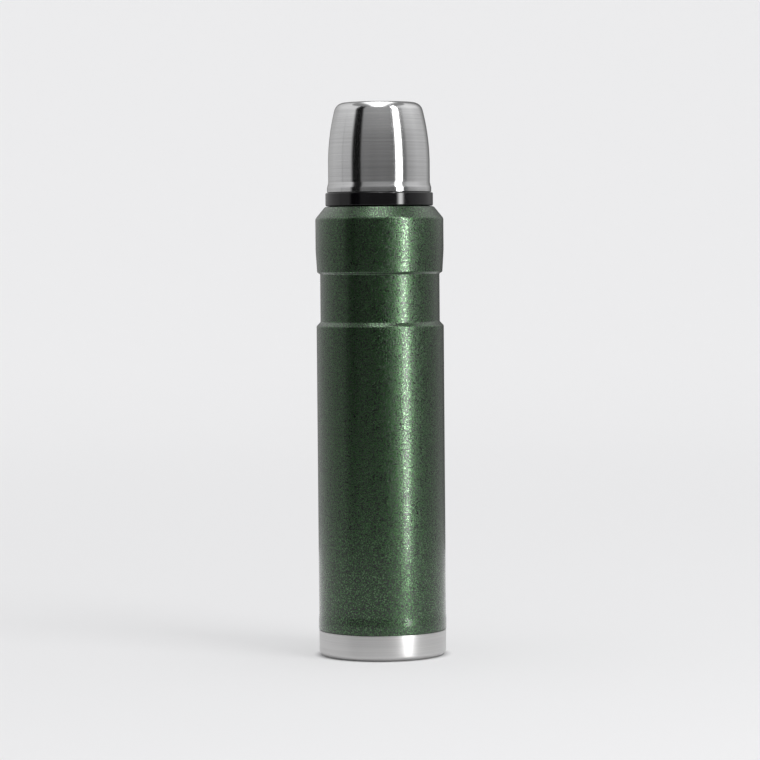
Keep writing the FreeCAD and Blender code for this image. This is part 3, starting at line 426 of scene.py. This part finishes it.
# how far the upper tones have taken over, as (height, share)
RISE = [(0.0, 0.0), (0.25, 0.0), (0.30, 0.38), (0.45, 0.42), (0.65, 1.0)]
STRIP_FROM, STRIP_TO, STRIP_GLOW = 36.5, 54.5, 15.0
STRIP_FADE = 8.0
CEILING_HEIGHT = 1.1
CEILING_NEAR, CEILING_FAR = 3.4, 0.35         # overhead glow at the middle and towards the sides
CEILING_FADE_FROM, CEILING_FADE_TO = 0.06, 0.30
BACKDROP_STEP = 0.3
BACKDROP_GLOW_NEAR, BACKDROP_GLOW_FAR = 0.375, 0.455
BACKDROP_NEAR, BACKDROP_FAR = 0.3, 2.6        # distances from the flask that those two belong to
FOOT_SHADE_FROM, FOOT_SHADE_TO = 0.034, 0.042     # painted contact shadow: the floor does not glow under the foot
KEY_PLACE, KEY_AIM, KEY_SIZE, KEY_POWER = (0.9, -0.8, 1.3), (0, 0, 0.15), 0.7, 8.5


def reflection_room():
    """A round wall that only shows in reflections: grey in front, a dark panel left, a strip light right."""
    count = STUDIO_SEGMENTS
    vertices, faces = [], []
    for k in range(count):
        angle = 2 * math.pi * k / count
        for height in (ROOM_BOTTOM, ROOM_HEIGHT):
            vertices.append((ROOM_RADIUS * math.cos(angle), ROOM_RADIUS * math.sin(angle), height))
    for k in range(count):
        after = (k + 1) % count
        faces.append((2 * k, 2 * k + 1, 2 * after + 1, 2 * after))
    mesh = bpy.data.meshes.new("reflection_room")
    mesh.from_pydata(vertices, [], faces)
    room = bpy.data.objects.new("reflection_room", mesh)
    bpy.context.scene.collection.objects.link(room)
    material, tree, glow = emission("room_tones")
    axes = add(tree, "ShaderNodeSeparateXYZ", {"Vector": object_point(tree)})
    behind = maths(tree, "MULTIPLY", axes.outputs["Y"], -1.0)
    turn = maths(tree, "ARCTAN2", axes.outputs["X"], behind)
    share = maths(tree, "ADD", maths(tree, "DIVIDE", turn, 2 * math.pi), 0.5)
    tones, upper_tones = [ramp(tree, share, [((angle + 180) / 360, grey(tone)) for angle, tone in table])
                          for table in (ROOM_TONES, UPPER_TONES)]
    strip = ramp(tree, share, [((STRIP_FROM + 180) / 360, grey(0)),
                               ((STRIP_FROM + STRIP_FADE + 180) / 360, grey(1)),
                               ((STRIP_TO - STRIP_FADE + 180) / 360, grey(1)),
                               ((STRIP_TO + 180) / 360, grey(0))], "EASE")
    rise = ramp(tree, maths(tree, "DIVIDE", axes.outputs["Z"], ROOM_HEIGHT),
                [(height / ROOM_HEIGHT, grey(part)) for height, part in RISE])
    lower_part = maths(tree, "MULTIPLY", tones, maths(tree, "SUBTRACT", 1.0, rise))
    lit = maths(tree, "ADD", lower_part, maths(tree, "MULTIPLY", upper_tones, rise))
    strength = maths(tree, "ADD", lit, maths(tree, "MULTIPLY", strip, STRIP_GLOW))
    tree.links.new(strength, glow.inputs["Strength"])
    mesh.materials.append(material)
    only_in_reflections(room)


def ceiling_card():
    """An overhead soft box seen only in reflections, brightest along its middle."""
    half = ROOM_RADIUS
    height = CEILING_HEIGHT
    mesh = bpy.data.meshes.new("ceiling_card")
    mesh.from_pydata([(-half, -half, height), (half, -half, height), (half, half, height),
                      (-half, half, height)], [], [(3, 2, 1, 0)])
    card = bpy.data.objects.new("ceiling_card", mesh)
    bpy.context.scene.collection.objects.link(card)
    material, tree, glow = emission("ceiling_glow")
    axes = add(tree, "ShaderNodeSeparateXYZ", {"Vector": object_point(tree)})
    fade = add(tree, "ShaderNodeMapRange", {"Value": maths(tree, "ABSOLUTE", axes.outputs["X"]),
                                            "From Min": CEILING_FADE_FROM, "From Max": CEILING_FADE_TO,
                                            "To Min": CEILING_NEAR, "To Max": CEILING_FAR},
               interpolation_type="SMOOTHSTEP")
    tree.links.new(fade.outputs[0], glow.inputs["Strength"])
    mesh.materials.append(material)
    only_in_reflections(card)


def area_light(name, place_at, aim, size, power):
    light = bpy.data.lights.new(name, "AREA")
    light.shape = "SQUARE"
    light.size = size
    light.energy = power
    lamp = bpy.data.objects.new(name, light)
    lamp.location = place_at
    lamp.rotation_euler = (Vector(aim) - Vector(place_at)).to_track_quat("-Z", "Y").to_euler()
    lamp.visible_glossy = False
    bpy.context.scene.collection.objects.link(lamp)


def backdrop():
    """A seamless pale bowl: level floor, wide rounded rise, upright wall all round."""
    mesh = turned_mesh("backdrop", [(0, 0), (4500, 0, 2500), (4500, 6000), (4600, 6000), (4600, -100),
                                    (0, -100)], STUDIO_SEGMENTS, BACKDROP_STEP)
    sweep = bpy.data.objects.new("backdrop", mesh)
    bpy.context.scene.collection.objects.link(sweep)
    material, tree, shader = new_material("pale_backdrop")
    shader.inputs["Base Color"].default_value = (0.45, 0.45, 0.455, 1.0)
    shader.inputs["Roughness"].default_value = 0.95
    shader.inputs["Specular IOR Level"].default_value = 0.0
    shader.inputs["Emission Color"].default_value = (1.0, 1.0, 1.005, 1.0)
    away = add(tree, "ShaderNodeVectorMath", {0: object_point(tree)}, operation="LENGTH").outputs["Value"]
    glow = add(tree, "ShaderNodeMapRange", {"Value": away, "From Min": BACKDROP_NEAR,
                                            "From Max": BACKDROP_FAR, "To Min": BACKDROP_GLOW_NEAR,
                                            "To Max": BACKDROP_GLOW_FAR})
    # painted contact shadow: the floor's glow fades to nothing under and just round the foot
    under = add(tree, "ShaderNodeMapRange", {"Value": away, "From Min": FOOT_SHADE_FROM,
                                             "From Max": FOOT_SHADE_TO}, interpolation_type="SMOOTHSTEP")
    strength = maths(tree, "MULTIPLY", glow.outputs[0], under.outputs[0])
    tree.links.new(strength, shader.inputs["Emission Strength"])
    mesh.materials.append(material)


def studio():
    world = bpy.data.worlds.new("studio")
    bpy.context.scene.world = world
    world.use_nodes = True
    background = world.node_tree.nodes["Background"]
    background.inputs["Color"].default_value = (0.83, 0.83, 0.83, 1.0)
    background.inputs["Strength"].default_value = 1.0
    world.cycles_visibility.glossy = False
    backdrop()
    reflection_room()
    ceiling_card()
    area_light("key_light", KEY_PLACE, KEY_AIM, KEY_SIZE, KEY_POWER)
    bpy.context.scene.view_settings.view_transform = "Standard"


# ------------------------------------------------------------------ camera
CAMERA_DISTANCE = 1.80
CAMERA_HEIGHT = 0.239
AIM_HEIGHT = 0.1623
ASIDE = -0.0004
ROLL = math.radians(-0.48)
LENS, SENSOR_WIDTH = 144.6, 36.0


def camera():
    data = bpy.data.cameras.new("camera")
    data.lens = LENS
    data.sensor_width = SENSOR_WIDTH
    eye = bpy.data.objects.new("camera", data)
    eye.location = (ASIDE, -CAMERA_DISTANCE, CAMERA_HEIGHT)
    look = Vector((ASIDE, 0, AIM_HEIGHT)) - Vector(eye.location)
    turned = look.to_track_quat("-Z", "Y").to_matrix().to_4x4()
    line_of_sight = Vector((0, 0, 1))
    eye.matrix_world = Matrix.Translation(eye.location) @ turned @ Matrix.Rotation(ROLL, 4, line_of_sight)
    bpy.context.scene.collection.objects.link(eye)
    bpy.context.scene.camera = eye


flask()
studio()
camera()
